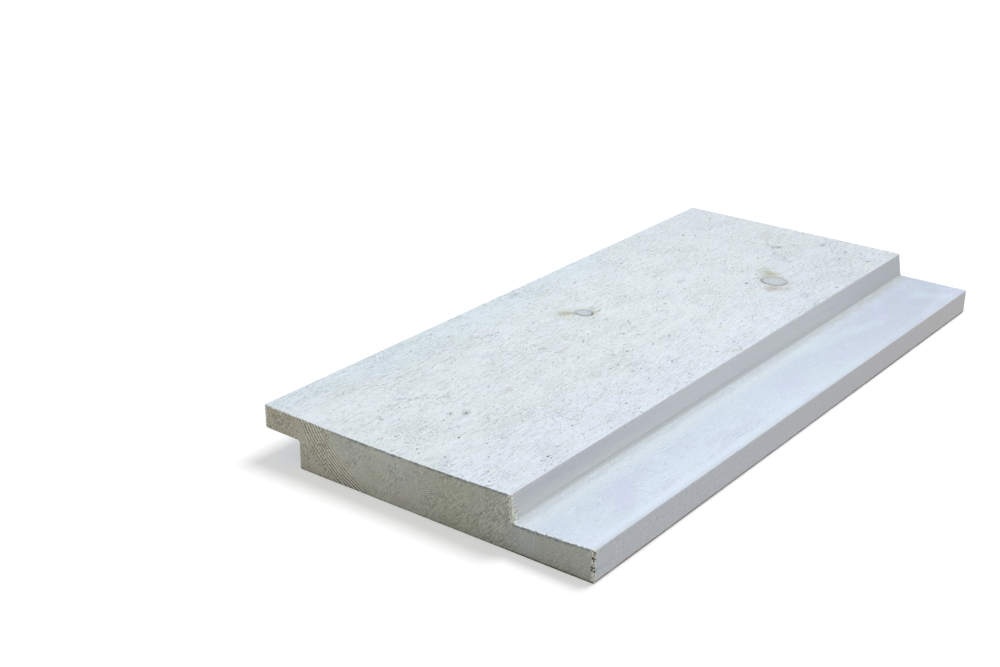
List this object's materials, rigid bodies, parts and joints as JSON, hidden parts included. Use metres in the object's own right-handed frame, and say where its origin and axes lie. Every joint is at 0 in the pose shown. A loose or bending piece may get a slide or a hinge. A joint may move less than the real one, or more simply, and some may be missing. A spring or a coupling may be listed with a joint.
{
  "type": "primed cladding board",
  "caption": "Softwood cladding board, factory primed, with a fine-sawn weather face, an overhanging lip along one edge and a planed tongue along the other.",
  "frame": {"origin": "on the plane of the back, under the middle of the board's outline", "axes": "+X across the board from the lip to the tongue, +Y along the grain, +Z out of the weather face"},
  "size_m": [0.145, 0.3, 0.021],
  "materials": {
    "primed_softwood": "matt water-based primer on fine-sawn and planed softwood"
  },
  "bodies": {
    "root": {"cladding_board": "primed_softwood"}
  },
  "joints": []
}
